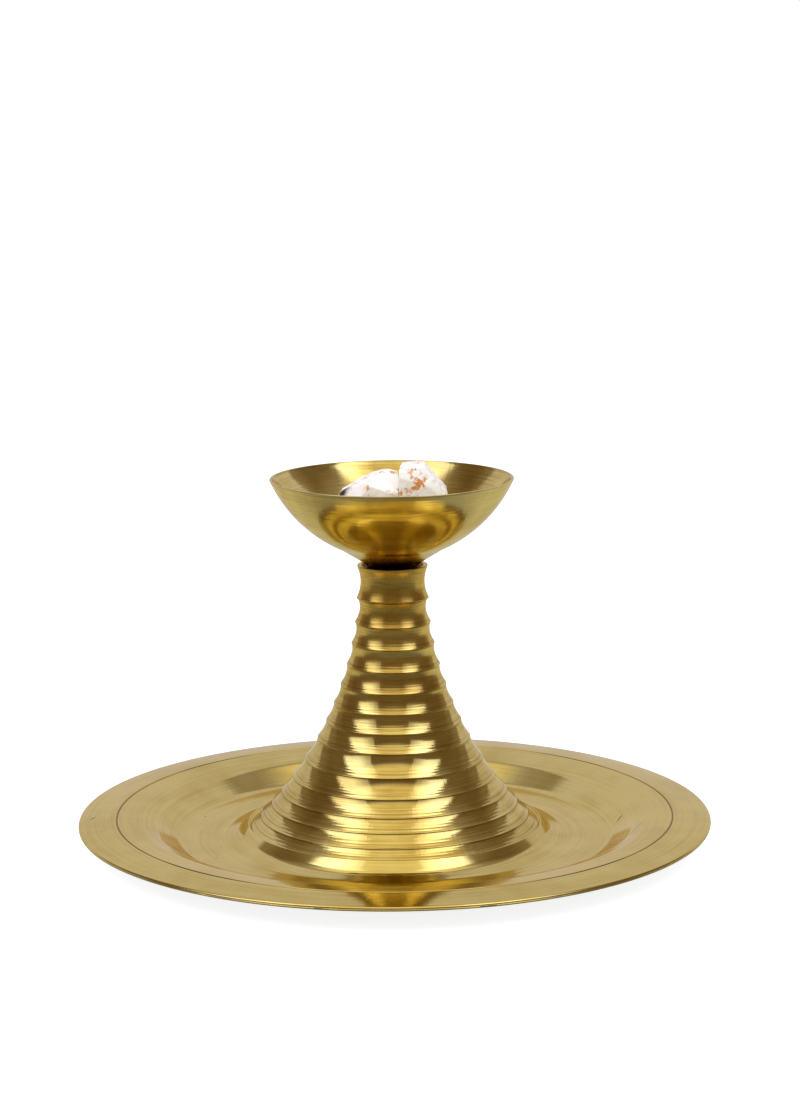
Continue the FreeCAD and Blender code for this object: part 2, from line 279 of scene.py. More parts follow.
def turned_brass(name, fresh, dull, roughness, spread, pitch, line_tilt, chatter_tilt,
                 edge_tilt=0.0, edge_cuts=0.0, neck_gain=0.0, nicks=()):
    """Turned brass with lines round the axis every pitch. Real lines are about 0.25 mm apart,
    too fine to show in the render, so they are drawn 0.35 to 0.7 mm apart.

    fresh and dull are the metal and its tarnish, roughness is its range and spread is how much
    more it scatters across the lines. line_tilt is how far the lines tip the face, chatter_tilt
    how far the tool's chatter does, and edge_tilt how far the edge_cuts above an edge do.
    Towards the neck the metal is warmer, partly from heat and partly as a painted warm
    reflection of the tray, rougher by neck_gain and more broken by chatter.
    nicks are dark marks seen from above: place, length and width in mm, and heading in
    degrees."""
    finish = bpy.data.materials.new(name)
    finish.use_nodes = True
    tree = finish.node_tree
    metal = tree.nodes["Principled BSDF"]
    metal.inputs["Metallic"].default_value = 1.0
    metal.inputs["Specular Tint"].default_value = hex_colour(brass_glint)
    metal.inputs["Anisotropic"].default_value = spread
    metal.inputs["Anisotropic Rotation"].default_value = quarter_turn
    spot = add(tree, "ShaderNodeTexCoord").outputs["Object"]
    axes = add(tree, "ShaderNodeSeparateXYZ", spot)
    outwards = add(tree, "ShaderNodeCombineXYZ", axes.outputs["X"], axes.outputs["Y"])
    outwards = add(tree, "ShaderNodeVectorMath", outwards, operation="NORMALIZE")
    run = add(tree, "ShaderNodeAttribute", attribute_name="along").outputs["Fac"]
    edge = add(tree, "ShaderNodeAttribute", attribute_name="edge").outputs["Fac"]
    streaks = []
    for length, wander in ((pitch, line_wander), (chatter_length, chatter_per_radian)):
        where = add(tree, "ShaderNodeMath", run, 1 / (length * MM), operation="MULTIPLY")
        where = add(tree, "ShaderNodeCombineXYZ", 0.0, 0.0, where)
        streaks.append(add(tree, "ShaderNodeVectorMath", outwards, (wander, wander, wander),
                           where, operation="MULTIPLY_ADD"))
    lines = add(tree, "ShaderNodeTexNoise", streaks[0],
                named={"Scale": 1.0, "Detail": 2.0, "Roughness": 0.6})
    chatter = add(tree, "ShaderNodeTexNoise", streaks[1], named={"Scale": 1.0, "Detail": 2.0})
    # Tarnish and wiping: soft patches, broken up along the lines
    patches = add(tree, "ShaderNodeTexNoise", spot,
                  named={"Scale": 1 / (patch_width * MM), "Detail": 4.0})
    mottle = add(tree, "ShaderNodeMath", lines, line_share, patches, operation="MULTIPLY_ADD")
    amount = add(tree, "ShaderNodeMapRange", mottle, *tarnish_range)
    colour = add(tree, "ShaderNodeMix", amount, hex_colour(fresh), hex_colour(dull),
                 data_type="RGBA")
    # Painted shade, dark in the corners and along a line over each rib's land, and real nicks
    painted_shade_and_nicks = add(tree, "ShaderNodeAttribute", attribute_name="painted_shade_and_nicks").outputs["Fac"]
    painted_shade_and_nicks = add(tree, "ShaderNodeMapRange", painted_shade_and_nicks, 0.0, shade_full, 0.0, shade_cover)
    # A painted shade line over each rib's land, a little above its edge
    if edge_tilt:
        land_shade = add(tree, "ShaderNodeMath", edge, land_line_place, operation="SUBTRACT")
        land_shade = add(tree, "ShaderNodeMath", land_shade, operation="ABSOLUTE")
        land_shade = add(tree, "ShaderNodeMapRange", land_shade, *land_line_fade, land_line_cover, 0.0)
        painted_shade_and_nicks = add(tree, "ShaderNodeMath", painted_shade_and_nicks, land_shade, operation="MAXIMUM")
    for x, y, length, width, heading in nicks:
        side, ahead = math.sin(math.radians(heading)), math.cos(math.radians(heading))
        offset = add(tree, "ShaderNodeVectorMath", spot, (x * MM, y * MM, 0),
                     operation="SUBTRACT")
        shares = [add(tree, "ShaderNodeVectorMath", offset,
                      (2 * way_x / (size * MM), 2 * way_y / (size * MM), 0),
                      operation="DOT_PRODUCT")
                  for way_x, way_y, size in ((ahead, side, length), (-side, ahead, width))]
        mark = add(tree, "ShaderNodeCombineXYZ", *shares)
        mark = add(tree, "ShaderNodeVectorMath", mark, operation="LENGTH")
        mark = add(tree, "ShaderNodeMapRange", mark, *nick_fade, nick_cover, 0.0)
        painted_shade_and_nicks = add(tree, "ShaderNodeMath", painted_shade_and_nicks, mark, operation="MAXIMUM")
    colour = add(tree, "ShaderNodeMix", painted_shade_and_nicks, colour.outputs["Result"], hex_colour(shade_and_nick_colour),
                 data_type="RGBA")
    neck_nearness = add(tree, "ShaderNodeMapRange", axes.outputs["Z"], *neck_range)
    # Warmer towards the neck: partly heat tint, partly a painted warm reflection of the tray
    if neck_gain:
        colour = add(tree, "ShaderNodeMix", neck_nearness, colour.outputs["Result"],
                     hex_colour(neck_heat_and_reflection_tint), data_type="RGBA", blend_type="MULTIPLY")
    tree.links.new(colour.outputs["Result"], metal.inputs["Base Color"])
    gloss = add(tree, "ShaderNodeMapRange", mottle, *wiping_range, *roughness)
    gloss = add(tree, "ShaderNodeMath", neck_nearness, neck_gain, gloss, operation="MULTIPLY_ADD")
    tree.links.new(gloss.outputs["Value"], metal.inputs["Roughness"])
    # The lines tip the face up and down its slope, and the chatter tips it round the axis
    facing = add(tree, "ShaderNodeNewGeometry").outputs["Normal"]
    round_axis = add(tree, "ShaderNodeTangent", direction_type="RADIAL", axis="Z")
    tree.links.new(round_axis.outputs["Tangent"], metal.inputs["Tangent"])
    tilt = add(tree, "ShaderNodeMath", lines, 0.5, operation="SUBTRACT")
    tilt = add(tree, "ShaderNodeMath", tilt, line_tilt, operation="MULTIPLY")
    if edge_tilt:
        cut = add(tree, "ShaderNodeMath", edge, 2 * math.pi * edge_cuts, operation="MULTIPLY")
        cut = add(tree, "ShaderNodeMath", lines, cut_jitter, cut, operation="MULTIPLY_ADD")
        cut = add(tree, "ShaderNodeMath", cut, operation="SINE")
        near = add(tree, "ShaderNodeMapRange", edge, 0.0, cut_fade, 0.0, edge_tilt)
        tilt = add(tree, "ShaderNodeMath", cut, near, tilt, operation="MULTIPLY_ADD")
    uphill = add(tree, "ShaderNodeVectorMath", facing, round_axis, operation="CROSS_PRODUCT")
    uphill = add(tree, "ShaderNodeVectorMath", uphill, tilt, operation="SCALE")
    shake = add(tree, "ShaderNodeMath", chatter, 0.5, operation="SUBTRACT")
    shake_reach = add(tree, "ShaderNodeMath", neck_nearness, neck_chatter_share * neck_gain, chatter_tilt,
                      operation="MULTIPLY_ADD")
    shake = add(tree, "ShaderNodeMath", shake, shake_reach, operation="MULTIPLY")
    sideways = add(tree, "ShaderNodeVectorMath", round_axis, shake, operation="SCALE")
    bent = add(tree, "ShaderNodeVectorMath", facing, uphill)
    bent = add(tree, "ShaderNodeVectorMath", bent, sideways)
    bent = add(tree, "ShaderNodeVectorMath", bent, operation="NORMALIZE")
    tree.links.new(bent.outputs["Vector"], metal.inputs["Normal"])
    return finish


crest_radius = tray_radius - flange_width
crease_inner = crest_radius - crease_width
crease_middle = complex(crest_radius - crease_width / 2, crest_top - crease_depth)
shoulder_radius = crease_inner - land_width
brow_radius = shoulder_radius - brow_width
cove_foot_radius = brow_radius - cove_width
shelf_radius = foot_radius + hub_ledge
spigot_radius = foot_radius - spigot_inset


def tray_face(*hub_edge):
    """The tray's upper face from the rim to the screw hole, with the hub's edge as given."""
    return rounded([
        (tray_radius, crest_top - flange_droop, 0),
        (crest_radius, crest_top, crease_edge_round),
        (crease_middle.real, crease_middle.imag, crease_bottom_round),
        (crease_inner, crest_top, crease_edge_round),
        (shoulder_radius, crest_top - land_fall, shoulder_round),
        (brow_radius, crest_top - land_fall - brow_fall, brow_round),
        (cove_foot_radius, tray_gauge + dish_rise, cove_foot_round),
        (cove_foot_radius - dish_width, tray_gauge, dish_round),
        (shelf_radius + hub_slope_width, tray_gauge, hub_slope_round),
        (shelf_radius + hub_bend_width, tray_gauge + hub_bend_rise, hub_bend_round),
        *hub_edge,
        (spigot_radius, foot_z, spigot_round),
        (spigot_radius - spigot_draft, foot_z + spigot_height, spigot_round),
        (screw_hole_radius, foot_z + spigot_height, 0)])


# Above, the hub's edge stands up as a thin collar round the stem's foot, and below it is plain
upper_face = tray_face((shelf_radius, foot_z + hub_collar, collar_round),
                       (foot_radius + collar_clearance, foot_z, 0))
lower_face = set_off(tray_face((shelf_radius, foot_z, hub_edge_round)), tray_gauge)
edge_middle = (upper_face[0] + lower_face[0]) / 2
edge_corners = []
for face, edge_round in zip((upper_face, lower_face), edge_rounds):
    corner = [(p.real, p.imag, edge_round) for p in (edge_middle, face[0], face[1])]
    edge_corners.append(rounded(corner, edge_steps)[1:-1])
outline = ([edge_middle] + edge_corners[0] + upper_face[1:] + lower_face[:0:-1]
           + edge_corners[1][::-1] + [edge_middle])
# Painted shade along the scribed crease
painted_shade_and_nicks = [float(abs(p - crease_middle) < crease_shade_reach) for p in outline]
tray_nicks = (
    (-48.2, -16.3, 0.7, 0.6, 0), (-34.2, -1.3, 0.7, 0.5, 20), (-46.9, 16.1, 0.9, 0.6, 0),
    (-37.1, -7.3, 0.6, 0.4, 30), (-41.8, -19.8, 0.6, 0.5, 0), (54.6, 3.4, 3.4, 0.7, 58),
    (54.4, -20.0, 33.0, 0.2, 67), (-72.6, -3.4, 3.0, 0.7, 70))
spun_brass = turned_brass(
    "spun brass sheet", fresh="DDC97A", dull="C9B160", roughness=(0.08, 0.14), spread=0.6,
    pitch=0.7, line_tilt=0.05, chatter_tilt=0.02, nicks=tray_nicks)
tray = section_object("tray_sheet", outline, (("painted_shade_and_nicks", painted_shade_and_nicks),))
run_tree(tray, lathe, {**unthreaded, "Segments": tray_segments,
                       "Unevenness": tray_unevenness * MM, "Material": spun_brass})
finished(tray)
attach(tray, "lamp")
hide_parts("tray")

# Stem: a hollow brass casting, turned outside into thirteen skirts that step out one below the
# other, a waist and a flared lip round a rough faced mouth. Each skirt is hollow ground, with
# tool lines above its rounded edge and a thin line of painted shade in the corner under it.
# Inside the mouth the shadow is painted too.
bell_points = ((8.5, 59.2), (14.45, 33.7), (34.8, 3.9))
stem_height = 63.3
neck_length = 8.0
waist_radius = 7.66
waist_drop = 3.7
waist_steps = 24
lip_radius = 8.45
lip_land = 1.05
lip_round = 0.12
lip_taper = 0.12
lip_side = 0.6
mouth_depth = 1.9
mouth_floor_radius = 6.6
mouth_floor_round = 0.2
mouth_steps = 4
# Painted shadow inside the stem's mouth
mouth_shade = 0.7
shaded_mouth_points = 8  # from the stud's bore up to the lip
wall = 2.6
bore_steps = 12
ceiling_z = 46.2
screw_bore = (2.55, 53.6)
stud_bore = (3.05, 56.3)
lip_z = foot_z + stem_height
neck_rib_z = lip_z - neck_length
rib_height_shares = (1.0, 0.890, 0.794, 0.698, 0.607, 0.522, 0.442, 0.363,
                     0.268, 0.187, 0.118, 0.063, 0.009)
lowest_rib_rise = 1.9
rib_land = 0.3
rib_step = 0.18
rib_hollow = 0.28
rib_edge_round = 0.15
upper_flare = 0.8
cuts_per_rib = 35
cut_crowding = 1.8
scratched_height = 2.4
cut_spacing = 0.55
corner_shade_reach = (0.1 * MM, 0.35 * MM)
corner_shade = 0.4
stem_segments = 180

# The skirts: each point knows its share of the way down its rib, and the rib's drop and flare.
# It moves in by the step at the rib's top, by the hollow in its middle and round the edge.
ribs, given, made = geometry_tree("skirts cut on the bell", (
    ("Step In", "Float"), ("Hollow", "Float"), ("Edge Round", "Float"),
    ("Scratched Height", "Float")))
share, drop, flare, mouth_shade_values = [
    add(ribs, "GeometryNodeInputNamedAttribute", title, data_type="FLOAT")
    for title in ("share", "drop", "flare", "painted_shade_and_nicks")]
on_rib = add(ribs, "FunctionNodeCompare", share, -0.5, data_type="FLOAT",
             operation="GREATER_THAN")
rest = add(ribs, "ShaderNodeMath", 1.0, share, operation="SUBTRACT")
above = add(ribs, "ShaderNodeMath", rest, drop, operation="MULTIPLY")
step_in = add(ribs, "ShaderNodeMath", rest, given["Step In"], operation="MULTIPLY")
hollow = share
for factor in (above, flare, given["Hollow"]):
    hollow = add(ribs, "ShaderNodeMath", hollow, factor, operation="MULTIPLY")
# The edge is rounded off: a quarter circle in the last of the rib's height
lip = add(ribs, "ShaderNodeMath", above, given["Edge Round"], operation="DIVIDE")
lip = add(ribs, "ShaderNodeMath", 1.0, lip, operation="SUBTRACT", use_clamp=True)
lip = add(ribs, "ShaderNodeMath", lip, 2.0, operation="POWER")
lip = add(ribs, "ShaderNodeMath", 1.0, lip, operation="SUBTRACT")
lip = add(ribs, "ShaderNodeMath", lip, operation="SQRT")
lip = add(ribs, "ShaderNodeMath", 1.0, lip, operation="SUBTRACT")
lip = add(ribs, "ShaderNodeMath", lip, given["Edge Round"], operation="MULTIPLY")
inwards = add(ribs, "ShaderNodeMath", step_in, hollow)
inwards = add(ribs, "ShaderNodeMath", inwards, lip)
shift = add(ribs, "ShaderNodeMath", inwards, -1.0, operation="MULTIPLY")
shift = add(ribs, "ShaderNodeCombineXYZ", shift)
cut = add(ribs, "GeometryNodeSetPosition", given["Geometry"], on_rib, named={"Offset": shift})
near = add(ribs, "ShaderNodeMath", above, given["Scratched Height"], operation="DIVIDE")
near = add(ribs, "ShaderNodeMapRange", near, 0.0, 1.0, 1.0, 0.0)
near = add(ribs, "ShaderNodeMath", near, on_rib, operation="MULTIPLY")
# Painted shade in the corner under each rib's edge, added to the mouth's painted shadow
below = add(ribs, "ShaderNodeMath", share, drop, operation="MULTIPLY")
below = add(ribs, "ShaderNodeMapRange", below, *corner_shade_reach, corner_shade, 0.0)
below = add(ribs, "ShaderNodeMath", below, on_rib, mouth_shade_values, operation="MULTIPLY_ADD")
for title, value in (("edge", near), ("painted_shade_and_nicks", below)):
    cut = add(ribs, "GeometryNodeStoreNamedAttribute", cut, named={"Name": title, "Value": value})
ribs.links.new(cut.outputs[0], made["Geometry"])


def circle_through(a, b, c):
    """Centre of the circle through three complex points, and its radius."""
    w = (c - a) / (b - a)
    centre = (b - a) * (w - abs(w) ** 2) / (2j * w.imag) + a
    return centre, abs(a - centre)


bell_centre, bell_reach = circle_through(*[complex(*spot) for spot in bell_points])


def bell_radius(height, inwards=0.0):
    """Radius of the bell at a height, or of the bore that lies inwards of it."""
    reach = bell_reach + inwards
    return bell_centre.real - math.sqrt(reach ** 2 - (bell_centre.imag - height) ** 2)


lowest_rib_z = foot_z + lowest_rib_rise
rib_edges = [lowest_rib_z + (neck_rib_z - lowest_rib_z) * part for part in rib_height_shares]
rib_edges.append(foot_z)
mouth = rounded([(0, stud_bore[1], 0), (*stud_bore, 0), (stud_bore[0], lip_z - mouth_depth, 0),
                 (mouth_floor_radius, lip_z - mouth_depth, mouth_floor_round),
                 (lip_radius - lip_land, lip_z, lip_round), (lip_radius, lip_z, lip_round),
                 (lip_radius - lip_taper, lip_z - lip_side, 0)], mouth_steps)
neck_radius = bell_radius(neck_rib_z)
waist_centre, waist_reach = circle_through(mouth[-1], complex(waist_radius, lip_z - waist_drop),
                                           complex(neck_radius, neck_rib_z + rib_land))
start, end = [cmath.phase(spot - waist_centre) % (2 * math.pi)
              for spot in (mouth[-1], complex(neck_radius, neck_rib_z))]
points = mouth + [
    waist_centre + waist_reach * cmath.exp(1j * (start + (end - start) * k / waist_steps))
    for k in range(1, waist_steps + 1)]
off_rib = (-1.0, 0.0, 0.0)
cuts = [off_rib] * len(points)
flare_from = bell_points[1][1]
for upper, lower in zip(rib_edges, rib_edges[1:]):
    flare = 1 + upper_flare * max(0.0, upper - flare_from) / (neck_rib_z - flare_from)
    for k in range(cuts_per_rib + 1):
        part = 1 - (1 - k / cuts_per_rib) ** cut_crowding
        height = upper + (lower - upper) * part
        points.append(complex(bell_radius(height), height))
        cuts.append((part, (upper - lower) * MM, flare))
bore_heights = [foot_z + (ceiling_z - foot_z) * k / bore_steps for k in range(bore_steps + 1)]
bore = [complex(bell_radius(z, wall), z) for z in bore_heights]
bore += [complex(screw_bore[0], ceiling_z), complex(*screw_bore), complex(0, screw_bore[1])]
points += bore
cuts += [off_rib] * len(bore)
# Painted shadow from the stud's bore up to the lip, none elsewhere
mouth_shade_values = [0.0] + [mouth_shade] * shaded_mouth_points + [0.0] * (len(points) - shaded_mouth_points - 1)
turned_casting = turned_brass(
    "turned brass casting", fresh="DDC97A", dull="B8994A", roughness=(0.07, 0.14), spread=0.5,
    pitch=0.35, line_tilt=0.06, chatter_tilt=0.06, edge_tilt=0.06,
    edge_cuts=scratched_height / cut_spacing, neck_gain=0.16)
stem = section_object("stem_turning", points,
                      [*zip(("share", "drop", "flare"), zip(*cuts)), ("painted_shade_and_nicks", mouth_shade_values)])
run_tree(stem, ribs, {"Step In": rib_step * MM, "Hollow": rib_hollow,
                      "Edge Round": rib_edge_round * MM,
                      "Scratched Height": scratched_height * MM})
run_tree(stem, lathe, {**unthreaded, "Segments": stem_segments, "Unevenness": 0.0,
                       "Material": turned_casting})
finished(stem)
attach(stem, "lamp")
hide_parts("stem")

# Bowl: a cup turned from thick brass, with a round inside, a thin lip, a belly that swells out
# over a cone, and a short foot that stands in the stem's mouth. Fine lines run round it.
bowl_low, bowl_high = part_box("bowl")
bowl_radius = bowl_high.x / MM
bowl_rim_z = bowl_high.z / MM
bowl_foot_z = bowl_low.z / MM
lip_thickness = 0.65
rim_side = 0.15
rim_round = 0.12
cup_taper = 0.1
heel_radius = 12.5
heel_z = lip_z + 4.1
bowl_foot_radius = 5.9
foot_edge_round = 0.2
foot_root_round = 0.3
cup_floor_z = bowl_foot_z + 6.4
belly_share = 0.092
stud_hole_radius = 3.05
stud_hole_end = bowl_foot_z + 4.65
corner_steps = 4
curve_steps = 48
# Painted shadow on the foot where it stands in the stem's mouth, and painted shade in the lip's
# inner corner
foot_shade, foot_shade_rise = 0.3, 0.3
lip_shade, lip_shade_reach = 0.2, 0.2
bowl_segments = 224
cup_mouth_radius = bowl_radius - lip_thickness
cup_depth = bowl_rim_z - cup_floor_z
cup_ball_radius = (cup_mouth_radius ** 2 + cup_depth ** 2) / (2 * cup_depth)


def arc_points(start, middle, end, steps):
    """Points on the arc from start through middle to end, both ends included."""
    centre, reach = circle_through(start, middle, end)
    turn = (cmath.phase((middle - centre) / (start - centre))
            + cmath.phase((end - centre) / (middle - centre)))
    return [centre + (start - centre) * cmath.exp(1j * turn * k / steps) for k in range(steps + 1)]


heel = complex(heel_radius, heel_z)
rim = complex(bowl_radius, bowl_rim_z - rim_side)
belly_middle = (heel + rim) / 2 + (rim - heel) * -1j * belly_share
cup_angle = math.asin(cup_mouth_radius / cup_ball_radius)
cup_turns = [cup_angle * k / curve_steps for k in range(curve_steps, -1, -1)]
cup = [complex(cup_ball_radius * math.sin(turn),
               cup_floor_z + cup_ball_radius * (1 - math.cos(turn))) for turn in cup_turns]
foot = rounded([(0, stud_hole_end, 0), (stud_hole_radius, stud_hole_end, 0),
                (stud_hole_radius, bowl_foot_z, 0),
                (bowl_foot_radius, bowl_foot_z, foot_edge_round),
                (bowl_foot_radius, lip_z, foot_root_round), (heel_radius, heel_z, 0)],
               corner_steps)
lip = rounded([(bowl_radius, bowl_rim_z - rim_side, 0), (bowl_radius, bowl_rim_z, rim_round),
               (cup_mouth_radius, bowl_rim_z, rim_round),
               (cup_mouth_radius - cup_taper, bowl_rim_z - rim_side, 0)], corner_steps)
outside = foot[:-1] + arc_points(heel, belly_middle, rim, curve_steps)
turning = outside + lip[1:-1] + cup[1:] + outside[:1]
lip_corner = complex(cup_mouth_radius, bowl_rim_z)
# The bowl's painted shade: low on the foot and at the lip's inner corner
bowl_shade = [foot_shade * (p.imag < lip_z + foot_shade_rise)
        + lip_shade * (abs(p - lip_corner) < lip_shade_reach) for p in turning]
polished_brass = turned_brass(
    "turned and polished brass", fresh="DDC97A", dull="B8994A", roughness=(0.11, 0.18),
    spread=0.7, pitch=0.4, line_tilt=0.14, chatter_tilt=0.06)
bowl = section_object("bowl_turning", turning, (("painted_shade_and_nicks", bowl_shade),))
run_tree(bowl, lathe, {**unthreaded, "Segments": bowl_segments, "Unevenness": 0.0,
                       "Material": polished_brass})
finished(bowl)
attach(bowl, "bowl")
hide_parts("bowl")

# Screw stud that the bowl turns on: 6 mm zinc plated steel with a rolled thread of 1 mm pitch,
# chamfered at both ends. It shows only when the bowl is unscrewed.
stud_low, stud_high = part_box("bowl_stud")
stud_radius = stud_high.x / MM
stud_bottom = stud_low.z / MM
stud_top = stud_high.z / MM
stud_chamfer = 0.5
thread_pitch = 1.0
thread_depth = 0.55
rings_per_turn = 10
stud_segments = 72
zinc_pale, zinc_dark = "B9BCBE", "8D9193"
zinc_cloud_width = 3.125
zinc_cloud_range = (0.3, 0.7)
zinc_grain_width = 0.2  # coarser than real plating, or it wouldn't show
zinc_grain_depth = 0.01
zinc_roughness = (0.24, 0.42)


def zinc_steel(name):
    """Zinc plated steel: pale grey metal with a faint blue cast and a fine dull grain."""
    finish = bpy.data.materials.new(name)
    finish.use_nodes = True
    tree = finish.node_tree
    metal = tree.nodes["Principled BSDF"]
    metal.inputs["Metallic"].default_value = 1.0
    spot = add(tree, "ShaderNodeTexCoord").outputs["Object"]
    cloud = add(tree, "ShaderNodeTexNoise", spot,
                named={"Scale": 1 / (zinc_cloud_width * MM), "Detail": 5.0})
    colour = add(tree, "ShaderNodeMix", cloud, hex_colour(zinc_pale), hex_colour(zinc_dark),
                 data_type="RGBA")
    tree.links.new(colour.outputs["Result"], metal.inputs["Base Color"])
    gloss = add(tree, "ShaderNodeMapRange", cloud, *zinc_cloud_range, *zinc_roughness)
    tree.links.new(gloss.outputs["Result"], metal.inputs["Roughness"])
    grain = add(tree, "ShaderNodeTexNoise", spot,
                named={"Scale": 1 / (zinc_grain_width * MM), "Detail": 2.0})
    relief = add(tree, "ShaderNodeBump",
                 named={"Strength": 0.4, "Distance": zinc_grain_depth * MM, "Height": grain})
    tree.links.new(relief.outputs["Normal"], metal.inputs["Normal"])
    return finish


def threaded_run(radius, chamfer, bottom, top, pitch):
    """Side of a screw from bottom to top, with rings close enough for its thread."""
    rings = int((top - bottom) / pitch * rings_per_turn)
    heights = [bottom + (top - bottom) * k / rings for k in range(rings + 1)]
    return [complex(radius - max(0, chamfer - (z - bottom), chamfer - (top - z)), z)
            for z in heights]


zinc = zinc_steel("zinc plated steel")
side = threaded_run(stud_radius, stud_chamfer, stud_bottom, stud_top, thread_pitch)
threaded = [0.0, 0.0] + [1.0] * (len(side) - 2) + [0.0, 0.0]
stud = section_object("bowl_stud_threaded",
                      [complex(0, stud_bottom)] + side + [complex(0, stud_top)],
                      (("threaded", threaded),))
run_tree(stud, lathe, {"Segments": stud_segments, "Thread Pitch": thread_pitch * MM,
                       "Thread Depth": thread_depth * MM, "Unevenness": 0.0, "Material": zinc})
finished(stud)
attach(stud, "stud")
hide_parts("bowl_stud")

# Tie screw and washer under the tray: they hold the stem down on it. The screw's slotted pan
# head and the washer show only from below, so the frame's own pieces are kept and plated.
for node in ("tie_screw", "tie_washer"):
    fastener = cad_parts[node]
    fastener.data.materials.clear()
    fastener.data.materials.append(zinc)

# Camphor: two lumps broken from a block, loose in the bowl. White, waxy and half clear, with
# cleaved facets, rust coloured specks where the heat has reached, a larger orange patch on the
# right lump's left side, and a charred corner.
block_weld_reach = 0.01
voxel_size = 0.3
cleavage_faces = 26
cleavage_depths = (0.1, 0.9)
meeting_reach = 5
meeting_lean = 0.09
meeting_gain = 0.1
crumb_width = 2.0
crumb_sizes = (0.8, 2.0, 4)  # how fast finer crumbs shrink, how much finer each is, how many
crumb_depths = (0.05, 0.12)
meeting_calm = 0.8
camphor_white, camphor_rust, camphor_char = "FFFAF0", "D88A2E", "3A1A0C"
wax_depth = 1.5
stain_width = 10 / 3
stain_range = (0.55, 0.63)
orange_patch_place, orange_patch_reach, orange_patch_gain = (5.2, -5.0, 86.5), (1.0, 3.6), 0.16
charred_place, charred_reach, charred_creep = (-11.6, -2.0, 84.8), (1.4, 2.8), 1.2
crystal_width = 10 / 9
crystal_depth = 0.15
lump_parting = (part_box("camphor_left")[1].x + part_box("camphor_right")[0].x) / 2


def camphor_block(node, name, seed, slopes):
    """The node's own block, cut finely and cleaved along planes just inside its skin.

    slopes are larger cleavage faces that rise across the lamp: two points (x, z) in mm."""
    block = bpy.data.objects.new(name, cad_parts[node].data.copy())
    bpy.context.collection.objects.link(block)
    shell = bmesh.new()
    shell.from_mesh(block.data)
    bmesh.ops.remove_doubles(shell, verts=shell.verts, dist=block_weld_reach * MM)
    shell.to_mesh(block.data)
    shell.free()
    remesh = block.modifiers.new("close grid", "REMESH")
    remesh.mode = "VOXEL"
    remesh.voxel_size = voxel_size * MM
    block = finished(block)
    places = np.array([v.co for v in block.data.vertices])
    middle = (places.min(0) + places.max(0)) / 2
    rng = np.random.default_rng(seed)
    for _ in range(cleavage_faces):
        facing = rng.normal(size=3)
        facing /= np.linalg.norm(facing)
        reach = (places - middle) @ facing
        depth = rng.uniform(*cleavage_depths) * MM
        over = np.maximum(reach - (reach.max() - depth), 0)
        places -= over[:, None] * facing
    for (x, z), (far_x, far_z) in slopes:
        facing = np.array([z - far_z, 0, far_x - x]) / math.hypot(far_x - x, far_z - z)
        over = np.maximum((places - np.array([x, 0, z]) * MM) @ facing, 0)
        places -= over[:, None] * facing
    # Where the lumps meet, each is a little longer and leans, so that no gap is seen through
    meeting = np.clip(1 - abs(places[:, 0] - lump_parting) / (meeting_reach * MM), 0, 1)
    gain = math.copysign(meeting_gain * MM, lump_parting - middle[0])
    places[:, 0] += meeting * (places[:, 1] * meeting_lean + gain)
    least, most = crumb_depths
    for vertex, place, kept in zip(block.data.vertices, places, meeting):
        crumb = noise.fractal(Vector(place) * (1 / (crumb_width * MM)), *crumb_sizes)
        centre_way = (Vector(middle) - Vector(place)).normalized()
        depth = least + most * crumb
        vertex.co = Vector(place) + centre_way * depth * (1 - meeting_calm * kept) * MM
    block.data.polygons.foreach_set("use_smooth", [False] * len(block.data.polygons))
    return block


def broken_camphor(name):
    """Camphor: white wax that light sinks into, with rust stains, a charred end and crystals."""
    finish = bpy.data.materials.new(name)
    finish.use_nodes = True
    tree = finish.node_tree
    wax = tree.nodes["Principled BSDF"]
    wax.inputs["Subsurface Weight"].default_value = 0.2
    wax.inputs["Subsurface Radius"].default_value = (1.0, 0.9, 0.8)
    wax.inputs["Subsurface Scale"].default_value = wax_depth * MM
    wax.inputs["Roughness"].default_value = 0.45
    spot = add(tree, "ShaderNodeTexCoord").outputs["Object"]
    stain = add(tree, "ShaderNodeTexNoise", spot,
                named={"Scale": 1 / (stain_width * MM), "Detail": 6.0, "Roughness": 0.75})
    orange_patch, charred = [
        add(tree, "ShaderNodeVectorMath", spot, [at * MM for at in centre], operation="DISTANCE")
        for centre in (orange_patch_place, charred_place)]
    # A larger orange patch on the right lump's left side, added to the stains
    near, far = orange_patch_reach
    orange_patch = add(tree, "ShaderNodeMapRange", orange_patch, near * MM, far * MM, orange_patch_gain, 0.0)
    stain = add(tree, "ShaderNodeMath", stain, orange_patch)
    stain = add(tree, "ShaderNodeMapRange", stain, *stain_range)
    colour = add(tree, "ShaderNodeMix", stain, hex_colour(camphor_white),
                 hex_colour(camphor_rust), data_type="RGBA")
    creep = add(tree, "ShaderNodeMath", stain, charred_creep * MM, operation="MULTIPLY")
    charred = add(tree, "ShaderNodeMath", charred, creep, operation="SUBTRACT")
    near, far = charred_reach
    charred = add(tree, "ShaderNodeMapRange", charred, near * MM, far * MM, 1.0, 0.0)
    colour = add(tree, "ShaderNodeMix", charred, colour.outputs["Result"],
                 hex_colour(camphor_char), data_type="RGBA")
    tree.links.new(colour.outputs["Result"], wax.inputs["Base Color"])
    crystals = add(tree, "ShaderNodeTexVoronoi", spot,
                   named={"Scale": 1 / (crystal_width * MM)})
    relief = add(tree, "ShaderNodeBump", named={
        "Strength": 0.6, "Distance": crystal_depth * MM, "Height": crystals.outputs["Distance"]})
    tree.links.new(relief.outputs["Normal"], wax.inputs["Normal"])
    return finish


